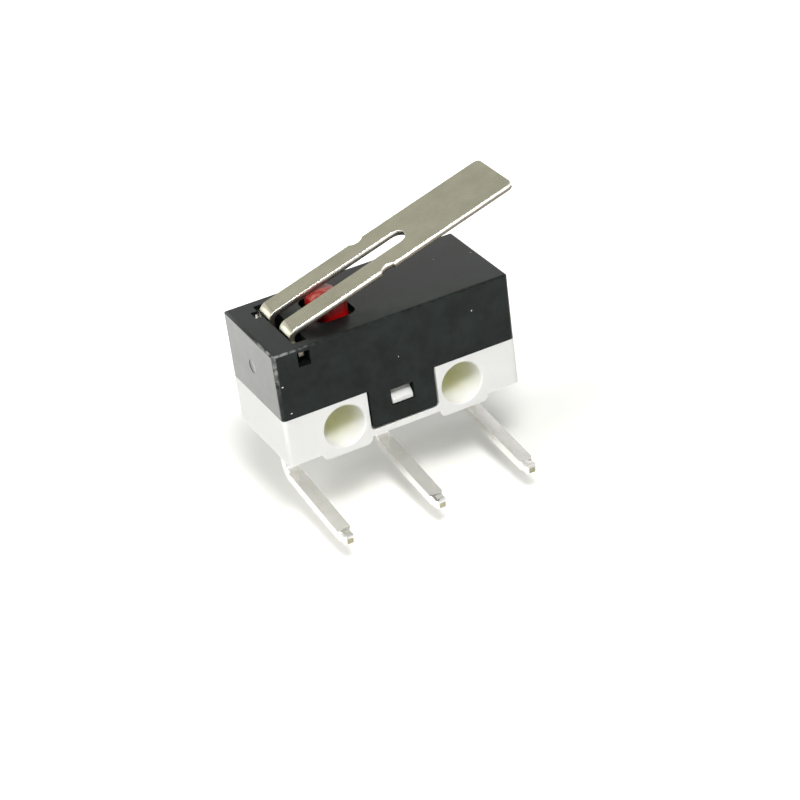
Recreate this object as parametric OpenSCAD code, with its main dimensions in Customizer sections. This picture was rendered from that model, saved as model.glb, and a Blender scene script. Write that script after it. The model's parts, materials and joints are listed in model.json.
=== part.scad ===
// Ultra-subminiature snap-action switch with a hinged lever and right-angle pins.
// The origin is midway between the two mounting holes, on their common line.
// +X runs towards the lever's free end, +Y to the back and +Z up to the lever.

/* [Case] */
// Length of the case along the lever
case_l = 12.8; // [11.6:0.1:14.4]
// Depth of the case from front to back
case_d = 5.8; // [5.6:0.1:6.6]
// Height of the roof above the mounting hole line
roof_z = 5; // [4.9:0.05:5.6]
// Height of the parting line above the mounting hole line
parting_z = 1.4; // [1.35:0.05:1.6]
// Radius of the case's upright corners
corner_r = 0.22; // [0.05:0.01:0.35]

/* [Cover] */
// Thickness of the cover's side walls
wall_t = 0.5; // [0.4:0.02:0.52]
// Thickness of the cover's roof
roof_t = 0.6; // [0.5:0.05:0.7]
// Radius of the roof's outer edges
roof_edge_r = 0.14; // [0.05:0.01:0.3]
// Width of the snap tongues
tongue_w = 3.6; // [3:0.1:3.8]
// Thickness of the snap tongues
tongue_t = 0.45; // [0.3:0.05:0.48]
// Depth of the tongues' ends below the mounting hole line
tongue_drop = 0.72; // [0.5:0.02:0.8]
// Radius of the tongues' lower corners
tongue_corner_r = 0.2; // [0.05:0.05:0.3]
// Width of the window in each tongue
window_w = 1.25; // [0.9:0.05:1.6]
// Height of the window in each tongue
window_h = 0.88; // [0.7:0.02:1]
// Height of the window's lower edge above the mounting hole line
window_z = 0.17; // [0.1:0.01:0.25]
// Diameter of the shallow gate mark on the hinge end
gate_d = 0.7; // [0.4:0.05:1]
// Depth of the gate mark
gate_depth = 0.02; // [0.02:0.01:0.1]

/* [Base] */
// Distance from one mounting hole to the other
hole_pitch = 6.5; // [6.3:0.05:6.7]
// Diameter of the mounting holes
hole_d = 2.2; // [2:0.05:2.3]
// Width of the countersunk edge round each mounting hole
hole_edge = 0.08; // [0.04:0.02:0.16]
// Depth of the base's underside below the mounting hole line
base_drop = 1.14; // [1.12:0.02:1.3]
// Depth of the hole bosses' undersides below the mounting hole line
boss_drop = 1.5; // [1.4:0.02:1.7]
// Width of each hole boss
boss_w = 2.7; // [2.5:0.05:2.9]
// Radius of the bosses' lower corners
boss_r = 0.3; // [0.1:0.02:0.34]
// Height of the base's rim inside the cover
rim_h = 0.8; // [0.5:0.05:1]
// Thickness of the base's rim
rim_t = 0.36; // [0.3:0.02:0.4]
// Height of the floor above the parting line
floor_rise = 0.1; // [0.05:0.05:0.2]
// Height of the snap catches
catch_h = 0.72; // [0.5:0.02:0.8]
// Distance from the catches' faces in to the case's faces
catch_inset = 0.06; // [0.02:0.01:0.15]

/* [Hinge] */
// Distance from the hinge end of the case to the pivot
pivot_inset = 1.58; // [1.5:0.02:1.7]
// Depth of the pivot below the roof
pivot_drop = 0.45; // [0.44:0.01:0.5]
// Length of the pocket behind the lever's legs
pocket_back = 0.34; // [0.34:0.02:0.46]
// Length of the pocket in front of the lever's legs
pocket_front = 0.5; // [0.46:0.02:0.6]
// Depth of the pocket below the pivot
pocket_deep = 0.58; // [0.5:0.02:0.62]
// Thickness of the roof's lip, which closes the pocket up to the lever's legs
lip_t = 0.18; // [0.12:0.01:0.2]
// Gap between the lip and the lever's legs
lip_gap = 0.07; // [0.06:0.01:0.12]
// Distance from the middle of the case back to the notch in the lip
lip_notch_at = 1.45; // [1.3:0.01:1.6]
// Width of the notch in the lip
lip_notch_w = 0.7; // [0.5:0.01:0.8]
// Distance from the pivot to the end of the notch
lip_notch_l = 0.58; // [0.46:0.02:0.7]
// Thickness of the walls round the pocket, inside the cover
pocket_t = 0.34; // [0.25:0.01:0.36]
// Thickness of the long walls beside the pocket
hinge_wall_t = 0.6; // [0.5:0.05:0.7]
// Width of the pivot holes in the long walls
pivot_hole_w = 0.66; // [0.56:0.02:0.74]
// Height of the pivot holes above the pivot
pivot_hole_up = 0.22; // [0.22:0.01:0.28]
// Height of the pivot holes below the pivot
pivot_hole_down = 0.56; // [0.3:0.02:0.58]

/* [Lever] */
// Width of the lever
lever_w = 3.43; // [3.2:0.01:3.6]
// Thickness of the lever's sheet
lever_t = 0.3; // [0.24:0.02:0.3]
// Slope of the blade when free
lever_angle = 16.7; // [16:0.1:18]
// Distance from the pivot to the blade's tip, along the blade
lever_reach = 13.35; // [12:0.05:15]
// Distance from the pivot to the blade's underside, square to the blade
lever_rise = 0.441; // [0.44:0.001:0.48]
// Inner radius of the bend between blade and legs
lever_bend_r = 0.3; // [0.2:0.02:0.36]
// Width of the slot between the lever's arms
lever_slot_w = 1.13; // [0.9:0.01:1.3]
// Distance from the pivot to the slot's round end
lever_slot_end = 7.85; // [7.5:0.05:9]
// Distance from the pivot to the edge notches
lever_notch_at = 5.88; // [5.5:0.02:6.5]
// Radius of the edge notches
lever_notch_r = 0.45; // [0.35:0.01:0.6]
// Depth of the edge notches
lever_notch_depth = 0.22; // [0.1:0.01:0.3]
// Radius of the blade's corners
lever_tip_r = 0.3; // [0.1:0.05:0.6]
// Height of the pivot ears
ear_h = 0.36; // [0.3:0.02:0.38]
// Distance from the ears' ends in to the case's faces
ear_inset = 0.28; // [0.2:0.02:0.36]

/* [Plunger] */
// Distance from the pivot to the middle of the plunger
plunger_at = 2.69; // [2.6:0.01:2.75]
// Length of the plunger's head along the case
plunger_l = 1.55; // [1.4:0.05:1.7]
// Depth of the plunger's head from front to back
plunger_d = 2.4; // [2:0.05:2.5]
// Radius of the plunger's upright edges
plunger_edge_r = 0.5; // [0.1:0.02:0.6]
// Radius of the plunger's crown
plunger_crown_r = 2; // [1.6:0.05:2.6]
// Thickness of the flange that keeps the plunger in
flange_t = 0.4; // [0.3:0.02:0.5]
// Distance that the flange stands out from the head
flange_lip = 0.32; // [0.2:0.02:0.34]
// Length of the foot that presses the spring
foot_l = 0.7; // [0.4:0.05:0.9]
// Width of the sunk border round the plunger
border_w = 0.25; // [0.1:0.01:0.3]
// Depth of the sunk border
border_depth = 0.3; // [0.1:0.02:0.36]

/* [Terminals] */
// Distance from each end of the case to the terminal next to it
pin_inset = 1.32; // [1.3:0.01:1.4]
// Width of the terminal pins
pin_w = 0.74; // [0.66:0.02:0.8]
// Thickness of the terminals' sheet
pin_t = 0.6; // [0.5:0.02:0.64]
// Depth of the pins' centre line below the mounting hole line, at the front of the case
pin_drop = 4.04; // [3.2:0.02:5]
// Length of the pins in front of the case
pin_reach = 3; // [2.5:0.05:4]
// Angle by which the pins slope down to their tips
pin_lean = 6; // [0:0.5:8]
// Distance from the middle of the case back to the pins' legs
leg_back = 0.6; // [0.5:0.02:0.9]
// Inner radius of the pins' bends
pin_bend_r = 0.3; // [0.2:0.02:0.4]
// Length of the narrow nib at each pin's tip
nib_l = 0.56; // [0.3:0.02:0.7]
// Width of the nib
nib_w = 0.56; // [0.4:0.02:0.6]
// Thickness of the nib
nib_t = 0.5; // [0.4:0.02:0.56]
// Length of the slope between pin and nib
nib_slope = 0.16; // [0.1:0.02:0.3]
// Height of the common terminal's arm above the floor
com_arm_h = 0.5; // [0.4:0.02:0.6]
// Length of the common terminal's two posts
com_post_l = 0.5; // [0.4:0.02:0.56]
// Height of the normally closed terminal's arm
nc_arm_h = 0.42; // [0.3:0.02:0.48]

/* [Contacts] */
// Height of the spring above the floor
spring_rise = 1.5; // [1.45:0.01:1.55]
// Thickness of the spring's sheet
spring_t = 0.1; // [0.06:0.01:0.14]
// Width of the spring
spring_w = 2.4; // [2:0.05:2.6]
// Width of the spring's side arms
spring_arm_w = 0.6; // [0.4:0.02:0.64]
// Width of the bowed tongue
bow_w = 0.66; // [0.5:0.02:0.8]
// Height of the bow above its chord
bow_h = 0.55; // [0.3:0.05:0.7]
// Depth of the bow's seat below the spring
bow_drop = 0.42; // [0.3:0.02:0.5]
// Distance from the contacts to the normally closed terminal
contact_inset = 1.18; // [1.1:0.02:1.3]
// Diameter of the contacts
contact_d = 0.8; // [0.6:0.05:0.86]
// Height of the contacts' heads
contact_h = 0.27; // [0.2:0.01:0.3]
// Diameter of the moving contact's shank
shank_d = 0.4; // [0.3:0.02:0.5]
// Distance that the moving contact travels
contact_travel = 0.45; // [0.35:0.01:0.5]

/* [Clearances] */
// Gap between pieces that are pressed or snapped together
fit_gap = 0.03; // [0.02:0.01:0.05]
// Gap round the tongues in the base
tongue_gap = 0.09; // [0.05:0.01:0.12]
// Gap round the plunger's head in its guide
guide_gap = 0.05; // [0.03:0.01:0.08]
// Gap between pieces that touch and part in use
touch_gap = 0.02; // [0.01:0.01:0.03]

/* [Hidden] */
$fn = 64;
// Reach of a cut past the surface that it opens
cut = 1;
// Depth at which a flat face starts inside the round that it runs off
bite = 0.001;
half_l = case_l / 2;
half_d = case_d / 2;
ceiling_z = roof_z - roof_t;
floor_z = parting_z + floor_rise;
rim_z = parting_z + rim_h;
// Half the length and half the depth of the space inside the cover and inside the rim
cover_in_l = half_l - wall_t;
cover_in_d = half_d - wall_t;
rim_in_l = cover_in_l - fit_gap - rim_t;
rim_in_d = cover_in_d - fit_gap - rim_t;
pin_pitch = half_l - pin_inset;
contact_x = pin_pitch - contact_inset;
pivot_x = pivot_inset - half_l;
pivot_z = roof_z - pivot_drop;
pocket_floor_z = pivot_z - pocket_deep;
pocket_half_d = half_d - hinge_wall_t;
plunger_x = pivot_x + plunger_at;
// Crown height at which the plunger just clears the free lever
crown_z = pivot_z + plunger_crown_r - touch_gap
    + (lever_rise - plunger_crown_r + plunger_at * sin(lever_angle)) / cos(lever_angle);
flange_top_z = ceiling_z - touch_gap;
spring_z = floor_z + spring_rise;
spring_top_z = spring_z + spring_t / 2;
spring_low_z = spring_z - spring_t / 2;
// Thickness of each leg's foot, which lies on the floor and carries the terminal's plate
foot_t = 0.2;
// The spring hooks into a notch in the common terminal's first post
hook_depth = 0.15;
hook_half_h = 0.25;
hook_strip = 0.42;
post_x = hook_strip + hook_depth - pin_pitch;
// The bow springs from the contact end and ends in the notch of the second post
bow_root_x = contact_x - 1.5;
seat_x = -pin_pitch / 6;
seat_half_h = 0.2;
seat_depth = 0.14;
// Faces of the contacts, stacked up and down from the spring
moving_top_z = spring_top_z + contact_h;
moving_low_z = spring_low_z - contact_h;
nc_face_z = moving_top_z + touch_gap;
no_face_z = moving_low_z - contact_travel - touch_gap;
nc_arm_z = nc_face_z + contact_h;
no_arm_z = no_face_z - contact_h;
// Free ends of the two fixed arms, past their contacts
arm_end = 0.1;

// A flat shape drawn in x and z, given a depth along y
module through_depth(d) {
    rotate([90, 0, 0]) linear_extrude(height = d, center = true) children();
}

// A flat shape drawn in y and z, given a length along x
module through_length(l) {
    rotate([90, 0, 90]) linear_extrude(height = l, center = true) children();
}

// A flat shape drawn in x and y, given a height from one level to another
module between(low, high) {
    translate([0, 0, low]) linear_extrude(height = high - low) children();
}

module rounded_rect(l, d, r) {
    square([l - 2 * r, d], center = true);
    square([l, d - 2 * r], center = true);
    for (sx = [-1, 1], sy = [-1, 1])
        translate([sx * (l / 2 - r), sy * (d / 2 - r)]) circle(r);
}

// An upright rectangle whose top corners are round
module round_topped(w, low, high, r) {
    translate([-w / 2, low]) square([w, high - low - r]);
    translate([r - w / 2, low]) square([w - 2 * r, high - low]);
    for (s = [-1, 1])
        translate([s * (w / 2 - r), high - r]) circle(r);
}

// A ring sector between two directions less than 180 degrees apart
module ring_sector(r_in, r_out, from, to) {
    far = 2 * r_out;
    mid = (from + to) / 2;
    intersection() {
        difference() {
            circle(r_out);
            circle(r_in);
        }
        polygon([[0, 0], far * [cos(from), sin(from)], far * [cos(mid), sin(mid)],
                 far * [cos(to), sin(to)]]);
    }
}

// The inner side of a surface bent round the origin: down on the left, then off in a new direction
module bend_side(r, turn, back, ahead) {
    out = [cos(turn), sin(turn)];
    far = r * out + ahead * [sin(turn), -cos(turn)];
    circle(r);
    polygon([[-r, -back], [-r, 0], (r - bite) * out, far, [far[0], -back]]);
}

// A bent strip of sheet seen on edge, with its bend round the origin
module bent_strip(r, t, turn, back, ahead) {
    difference() {
        bend_side(r + t, turn, back, ahead);
        bend_side(r, turn, back + cut, ahead + cut);
    }
}

// Mounting holes, each with a narrow countersunk edge at both faces
module mounting_holes() {
    for (s = [-1, 1])
        translate([s * hole_pitch / 2, 0, 0]) {
            rotate([90, 0, 0]) cylinder(h = case_d + 2 * cut, d = hole_d, center = true);
            for (side = [-1, 1])
                translate([0, side * half_d, 0])
                    rotate([side * 90, 0, 0])
                        cylinder(h = 2 * hole_edge, d1 = hole_d + 4 * hole_edge, d2 = hole_d, center = true);
        }
}

// Outline of the tongue, grown by a gap for its recess
module tongue_outline(gap) {
    rotate(180)
        round_topped(tongue_w + 2 * gap, -parting_z, tongue_drop + gap, tongue_corner_r);
}

// Slots that the base, moulded round the terminals, leaves for them
module terminal_slots() {
    for (i = [-1, 0, 1])
        translate([i * pin_pitch, leg_back, 0])
            between(-boss_drop - cut, rim_z + cut)
                square([pin_w, pin_t], center = true);
}

// One snap catch: flat below, sloped above to let the tongue slide over it
module catch() {
    inner_y = half_d - tongue_t - 2 * fit_gap;
    outer_y = half_d - catch_inset;
    low_z = window_z + fit_gap;
    lead_z = low_z + catch_h / 3;
    through_length(window_w - 4 * fit_gap)
        polygon([[inner_y, low_z], [outer_y, low_z], [outer_y, lead_z], [inner_y, low_z + catch_h]]);
}

module base() {
    color("ivory") {
        difference() {
            union() {
                between(-base_drop, parting_z) rounded_rect(case_l, case_d, corner_r);
                between(parting_z - cut, rim_z)
                    square(2 * [cover_in_l - fit_gap, cover_in_d - fit_gap], center = true);
                for (s = [-1, 1])
                    translate([s * hole_pitch / 2, 0, 0])
                        through_depth(case_d) rotate(180) round_topped(boss_w, 0, boss_drop, boss_r);
            }
            between(floor_z, rim_z + cut) square(2 * [rim_in_l, rim_in_d], center = true);
            for (side = [0, 180])
                rotate(side) translate([0, -half_d, 0])
                    through_depth(2 * (tongue_t + fit_gap)) tongue_outline(tongue_gap);
            mounting_holes();
            terminal_slots();
        }
        for (side = [0, 180])
            rotate(side) catch();
    }
}

// The outside of the cover, with the edges of its roof rounded both ways
module cover_block() {
    intersection() {
        between(parting_z, roof_z) rounded_rect(case_l, case_d, corner_r);
        through_depth(case_d) round_topped(case_l, parting_z, roof_z, roof_edge_r);
        through_length(case_l) round_topped(case_d, parting_z, roof_z, roof_edge_r);
    }
}

// The space for the contacts, which leaves a walled pocket for the lever's legs
module cover_hollow() {
    pocket_wall_x = pivot_x + pocket_front + pocket_t;
    shelf_z = pocket_floor_z - pocket_t;
    between(parting_z - cut, shelf_z) square(2 * [cover_in_l, cover_in_d], center = true);
    translate([pocket_wall_x, -cover_in_d, parting_z])
        cube([cover_in_l - pocket_wall_x, 2 * cover_in_d, ceiling_z - parting_z]);
}

// The pocket for the lever's legs, under a lip of the roof that is notched beside the rear leg
module lever_pocket() {
    difference() {
        between(pocket_floor_z, roof_z + cut)
            translate([pivot_x - pocket_back, -pocket_half_d])
                square([pocket_back + pocket_front, 2 * pocket_half_d]);
        between(roof_z - lip_t, roof_z + 2 * cut)
            translate([pivot_x - pocket_back - cut, -half_d])
                square([pocket_back + cut - lever_t / 2 - lip_gap, case_d]);
    }
    between(roof_z - 2 * lip_t, roof_z + cut)
        translate([pivot_x - lip_notch_l, lip_notch_at - lip_notch_w / 2])
            square([lip_notch_l, lip_notch_w]);
}

module pivot_holes() {
    translate([pivot_x, 0, pivot_z])
        through_depth(case_d + 2 * cut)
            translate([-pivot_hole_w / 2, -pivot_hole_down])
                square([pivot_hole_w, pivot_hole_down + pivot_hole_up]);
}

module cover() {
    color("#2b3030")
        difference() {
            union() {
                cover_block();
                for (side = [0, 180])
                    rotate(side) translate([0, tongue_t / 2 - half_d, 0])
                        through_depth(tongue_t) tongue_outline(0);
            }
            cover_hollow();
            lever_pocket();
            pivot_holes();
            translate([plunger_x, 0, 0]) {
                between(ceiling_z - cut, roof_z + cut)
                    rounded_rect(plunger_l + 2 * guide_gap, plunger_d + 2 * guide_gap, plunger_edge_r);
                between(roof_z - border_depth, roof_z + cut)
                    rounded_rect(plunger_l + 2 * border_w, plunger_d + 2 * border_w, plunger_edge_r);
            }
            through_depth(case_d + 2 * cut)
                translate([-window_w / 2, window_z]) square([window_w, window_h]);
            translate([-half_l, 0, (parting_z + roof_z) / 2])
                rotate([0, 90, 0]) cylinder(h = 2 * gate_depth, d = gate_d, center = true);
        }
}

module plunger() {
    flange_l = plunger_l + 2 * flange_lip;
    flange_d = plunger_d + 2 * flange_lip;
    color("#b01414")
        translate([plunger_x, 0, 0]) {
            intersection() {
                between(flange_top_z - flange_t, crown_z) rounded_rect(plunger_l, plunger_d, plunger_edge_r);
                translate([0, 0, crown_z - plunger_crown_r])
                    rotate([90, 0, 0]) cylinder(h = case_d, r = plunger_crown_r, center = true, $fn = 128);
            }
            between(flange_top_z - flange_t, flange_top_z)
                rounded_rect(flange_l, flange_d, plunger_edge_r);
            between(spring_top_z + touch_gap, flange_top_z - flange_t / 2)
                square([foot_l, plunger_d], center = true);
        }
}

// The lever seen from the front: legs, bend and blade, with the pivot at the origin
module lever_profile() {
    bend_x = lever_t / 2 + lever_bend_r;
    bend_z = (lever_rise - lever_bend_r + bend_x * sin(lever_angle)) / cos(lever_angle);
    translate([bend_x, bend_z])
        bent_strip(lever_bend_r, lever_t, 90 + lever_angle, bend_z + ear_h / 2, lever_reach);
}

// The lever's flat blank, seen square to the blade
module lever_blank() {
    slot_round_x = lever_slot_end - lever_slot_w / 2;
    tail = 2 * lever_bend_r + lever_t;
    difference() {
        union() {
            translate([-tail, -lever_w / 2]) square([tail + lever_reach - lever_tip_r, lever_w]);
            translate([lever_reach - 2 * lever_tip_r, 0])
                rounded_rect(4 * lever_tip_r, lever_w, lever_tip_r);
        }
        translate([-tail - cut, -lever_slot_w / 2]) square([tail + cut + slot_round_x, lever_slot_w]);
        translate([slot_round_x, 0]) circle(d = lever_slot_w);
        for (side = [-1, 1])
            translate([lever_notch_at, side * (lever_w / 2 + lever_notch_r - lever_notch_depth)])
                circle(lever_notch_r);
    }
}

// The two pivot ears, stamped square and rounded where they turn
module lever_ears() {
    ear_l = half_d - ear_inset - lever_slot_w / 2;
    intersection() {
        for (side = [-1, 1])
            translate([0, side * (lever_slot_w + ear_l) / 2, 0])
                cube([lever_t, ear_l, ear_h], center = true);
        rotate([90, 0, 0])
            cylinder(h = case_d, d = norm([lever_t, ear_h]) * 0.92, center = true);
    }
}

module lever() {
    color("#a8a493")
        translate([pivot_x, 0, pivot_z]) {
            intersection() {
                through_depth(lever_w + 2 * cut) lever_profile();
                rotate([0, -lever_angle, 0])
                    linear_extrude(height = lever_reach, center = true) lever_blank();
            }
            lever_ears();
        }
}

// A pin whose foot lies on the floor, whose leg goes down and bends to the front, and ends in a nib
module pin() {
    mid_r = pin_bend_r + pin_t / 2;
    bend_y = leg_back - mid_r;
    fall = (bend_y + mid_r * sin(pin_lean) + half_d) * tan(pin_lean);
    bend_z = mid_r * cos(pin_lean) + fall - pin_drop;
    leg_l = floor_z + foot_t - bend_z;
    translate([-pin_w / 2, -pin_t / 2, floor_z]) cube([pin_w, leg_back + pin_t, foot_t]);
    intersection() {
        through_length(pin_w)
            translate([bend_y, bend_z])
                rotate(180)
                    bent_strip(pin_bend_r, pin_t, 90 + pin_lean, leg_l, case_d + pin_reach);
        translate([0, -half_d, -pin_drop])
            rotate([pin_lean, 0, 0])
                intersection() {
                    through_length(pin_w + 2 * cut) polygon(nib_outline(pin_t, nib_t, 2 * pin_drop));
                    linear_extrude(height = 4 * pin_drop, center = true)
                        mirror([1, -1]) polygon(nib_outline(pin_w, nib_w, pin_w));
                }
    }
}

// Outline along y from the case's front, which lets a bar through and then narrows it to a blunt nib
function nib_outline(bar, nib, wide) =
    let (nib_y = nib_l - pin_reach, full_y = nib_y + nib_slope,
         b = bar / 2 + bite, n = nib / 2, blunt = nib / 5)
    [[case_d, wide], [full_y, wide], [full_y, b], [nib_y, n], [blunt - pin_reach, n],
     [-pin_reach, n - blunt], [-pin_reach, blunt - n], [blunt - pin_reach, -n], [nib_y, -n],
     [full_y, -b], [full_y, -wide], [case_d, -wide]];

// The common terminal's plate: an arm on the floor with a post at each end
module com_plate() {
    leg_x = -pin_pitch - pin_w / 2;
    post_top_z = spring_z + hook_half_h + spring_t;
    seat_z = spring_z - bow_drop;
    seat_top_z = seat_z + seat_half_h + spring_t;
    difference() {
        union() {
            translate([leg_x, floor_z]) square([seat_x - leg_x, com_arm_h]);
            translate([post_x, floor_z]) square([com_post_l, post_top_z - floor_z]);
            translate([seat_x - com_post_l, floor_z]) square([com_post_l, seat_top_z - floor_z]);
        }
        translate([post_x, spring_z])
            polygon([[0, hook_half_h], [hook_depth, 0], [0, -hook_half_h]]);
        translate([seat_x, seat_z])
            polygon([[0, seat_half_h], [-seat_depth, 0], [0, -seat_half_h]]);
    }
}

module com_terminal() {
    color("silver") {
        translate([-pin_pitch, 0, 0]) pin();
        through_depth(pin_t) com_plate();
    }
}

module no_terminal() {
    color("silver") {
        pin();
        through_depth(pin_t)
            translate([-pin_w / 2, floor_z])
                square([contact_x + contact_d / 2 + arm_end + pin_w / 2, no_arm_z - floor_z]);
    }
}

module nc_terminal() {
    arm_x = contact_x - contact_d / 2 - arm_end;
    color("silver") {
        translate([pin_pitch, 0, 0]) pin();
        through_depth(pin_t) {
            translate([pin_pitch - pin_w / 2, floor_z])
                square([pin_w, nc_arm_z + nc_arm_h - floor_z]);
            translate([arm_x, nc_arm_z]) square([pin_pitch - arm_x, nc_arm_h]);
        }
    }
}

// The bowed tongue seen from the front, along an arc from its root to its seat
module bow_profile() {
    seat_tip = [seat_x - seat_depth / 2, spring_z - bow_drop];
    root = [bow_root_x + spring_t, spring_z];
    chord = norm(root - seat_tip);
    tilt = atan2(root[1] - seat_tip[1], root[0] - seat_tip[0]);
    r = bow_h / 2 + chord * chord / (8 * bow_h);
    half_angle = asin(chord / (2 * r));
    translate((root + seat_tip) / 2)
        rotate(tilt)
            translate([0, bow_h - r])
                ring_sector(r - spring_t / 2, r + spring_t / 2, 90 - half_angle, 90 + half_angle);
}

module snap_spring() {
    hook_x = post_x + hook_depth / 2;
    end_x = contact_x + contact_d / 2 + arm_end;
    window_d = spring_w - 2 * spring_arm_w;
    color("#c9a45c") {
        difference() {
            between(spring_low_z, spring_top_z)
                translate([hook_x - hook_strip, -spring_w / 2])
                    square([end_x - hook_x + hook_strip, spring_w]);
            between(spring_low_z - cut, spring_top_z + cut) {
                translate([hook_x, -window_d / 2]) square([bow_root_x - hook_x, window_d]);
                translate([contact_x, 0]) circle(d = shank_d);
            }
        }
        through_depth(bow_w) bow_profile();
    }
}

// A round contact head that stands on its flat side, with a low dome
module contact_head() {
    dome = contact_h / 3;
    dome_r = (contact_d * contact_d / 4 + dome * dome) / (2 * dome);
    intersection() {
        cylinder(h = contact_h, d = contact_d);
        translate([0, 0, contact_h - dome_r]) sphere(dome_r, $fn = 96);
    }
}

module moving_contact() {
    color("#d8d8d4")
        translate([contact_x, 0, 0]) {
            translate([0, 0, spring_top_z]) contact_head();
            translate([0, 0, spring_low_z]) mirror([0, 0, 1]) contact_head();
            between(spring_low_z, spring_top_z) circle(d = shank_d);
        }
}

module no_contact() {
    color("#d8d8d4") translate([contact_x, 0, no_arm_z]) contact_head();
}

module nc_contact() {
    color("#d8d8d4") translate([contact_x, 0, nc_arm_z]) mirror([0, 0, 1]) contact_head();
}

base();
cover();
plunger();
lever();
com_terminal();
no_terminal();
nc_terminal();
snap_spring();
moving_contact();
no_contact();
nc_contact();
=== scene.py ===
"""Dresses the lever micro switch: moulded plastics, plated sheet metal, a little dust and a white table.

Every form comes from the packed model. Each piece here is a copy of its solid with the fine edge
rounding that moulding and stamping leave, and a finish worked out in millimetres.
"""

import json
import math

import bmesh
import bpy
from bpy.props import FloatProperty, FloatVectorProperty, IntProperty, PointerProperty
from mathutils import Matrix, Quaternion, Vector


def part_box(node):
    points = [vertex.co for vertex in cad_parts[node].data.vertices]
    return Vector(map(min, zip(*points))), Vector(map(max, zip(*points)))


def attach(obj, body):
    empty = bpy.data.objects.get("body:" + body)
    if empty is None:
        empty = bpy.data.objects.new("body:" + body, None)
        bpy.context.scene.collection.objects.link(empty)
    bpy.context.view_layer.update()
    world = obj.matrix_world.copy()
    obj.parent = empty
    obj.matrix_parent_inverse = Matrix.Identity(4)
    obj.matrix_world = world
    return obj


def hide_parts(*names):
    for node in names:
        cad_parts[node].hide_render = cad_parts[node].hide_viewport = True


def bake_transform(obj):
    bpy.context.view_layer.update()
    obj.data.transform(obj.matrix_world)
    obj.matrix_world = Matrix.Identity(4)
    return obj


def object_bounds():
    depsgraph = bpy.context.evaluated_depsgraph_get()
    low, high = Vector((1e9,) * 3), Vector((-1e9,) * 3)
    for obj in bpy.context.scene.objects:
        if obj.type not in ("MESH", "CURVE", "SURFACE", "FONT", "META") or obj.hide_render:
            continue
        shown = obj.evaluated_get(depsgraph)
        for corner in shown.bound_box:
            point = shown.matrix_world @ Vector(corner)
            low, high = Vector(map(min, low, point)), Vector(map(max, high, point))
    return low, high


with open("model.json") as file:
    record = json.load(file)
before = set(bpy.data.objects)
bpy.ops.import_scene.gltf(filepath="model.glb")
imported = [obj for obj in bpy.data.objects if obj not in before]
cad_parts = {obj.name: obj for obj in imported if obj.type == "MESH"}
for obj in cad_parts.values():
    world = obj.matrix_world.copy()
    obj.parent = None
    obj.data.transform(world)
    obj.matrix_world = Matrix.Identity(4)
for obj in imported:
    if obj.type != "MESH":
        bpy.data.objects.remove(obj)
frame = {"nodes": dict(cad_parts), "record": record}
CAD_LOW, CAD_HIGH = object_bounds()

bl_info = {
    "name": "Lever micro switch",
    "version": (1, 0, 0),
    "blender": (4, 5, 0),
    "location": "View3D > Sidebar > Switch",
    "description": "Builds the finished pieces of a lever micro switch on its packed solids",
    "category": "Object",
}

MM = 0.001

# Boxes of the solids that the finishes, the dust and the table are placed by
COVER_LOW, COVER_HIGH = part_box("cover")
PLUNGER_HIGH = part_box("plunger")[1]
PIN_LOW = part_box("no_terminal")[0]

# The photograph's viewpoint, in the part's own axes
CAMERA_PLACE = Vector((-40.663, -95.377, 60.37)) * MM
CAMERA_AHEAD = Vector((0.3445, 0.78733, -0.5113))
CAMERA_RIGHT = Vector((0.88018, -0.46031, -0.11577))

# Length of the narrowed end of each pin
NIB_LENGTH = 0.7 * MM

# Slope of the free lever's blade, which its cut edges follow
LEVER_SLOPE = math.radians(16.7)

# Faces this near a mounting hole's axis are the wall of its bore
BORE_REACH = 1.2 * MM

# Level up to which the bow's tip rests in its notch, and level from which the leaf turns
BOW_TIP_Z = 2.6 * MM
LEAF_Z = 2.9 * MM

# Points of a solid that are closer than this are one point
WELD = 0.004 * MM

# Faces of a solid that meet at less than this lie in one face
FLAT_ANGLE = math.radians(1.5)

# Edges that turn by more than this are rounded, with this many faces across them
SHARP_ANGLE = math.radians(30)
EDGE_STEPS = 3
PIN_EDGE_STEPS = 4

# Bare strip of roof that the plunger and the lever keep free of dust
DUST_CLEAR = 1.5 * MM

# A face whose middle is this near a plane lies in it
IN_PLANE = 0.01 * MM

# Half the width of the table, in metres
TABLE_REACH = 0.6

# Distance of the softboxes from the middle of the switch
LAMP_DISTANCE = 150 * MM

# Tones of the tent as metal mirrors it, by the upward part of the direction
TENT_TONES = (
    (0.3, "#ffffff"),
    (0.47, "#f1f0ee"),
    (0.55, "#cfcbc2"),
    (0.6, "#b7b8b2"),
    (0.95, "#b4b4b0"),
)

# Tone of the tent's right wall, and colour of the light that the tent gives
TENT_RIGHT = "#e2e1df"
TENT_LIGHT = "#fffffa"


def linear(code):
    """An sRGB hex colour such as #a0b1c2 as linear red, green, blue and alpha."""
    channels = [int(code[i : i + 2], 16) / 255 for i in (1, 3, 5)]
    straight = [c / 12.92 if c <= 0.04045 else ((c + 0.055) / 1.055) ** 2.4 for c in channels]
    return (*straight, 1.0)


def colour_property(name, description, code):
    """A colour that a user may change, given as sRGB hex."""
    return FloatVectorProperty(
        name=name, description=description, subtype="COLOR", size=4, min=0, max=1, default=linear(code)
    )


def length_property(name, description, millimetres):
    """A length that a user may change, given in millimetres."""
    return FloatProperty(
        name=name, description=description, unit="LENGTH", subtype="DISTANCE", min=0, precision=6,
        default=millimetres * MM,
    )


def power_property(name, description, watts):
    """A lamp's power that a user may change."""
    return FloatProperty(name=name, description=description, unit="POWER", min=0, default=watts)


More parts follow.
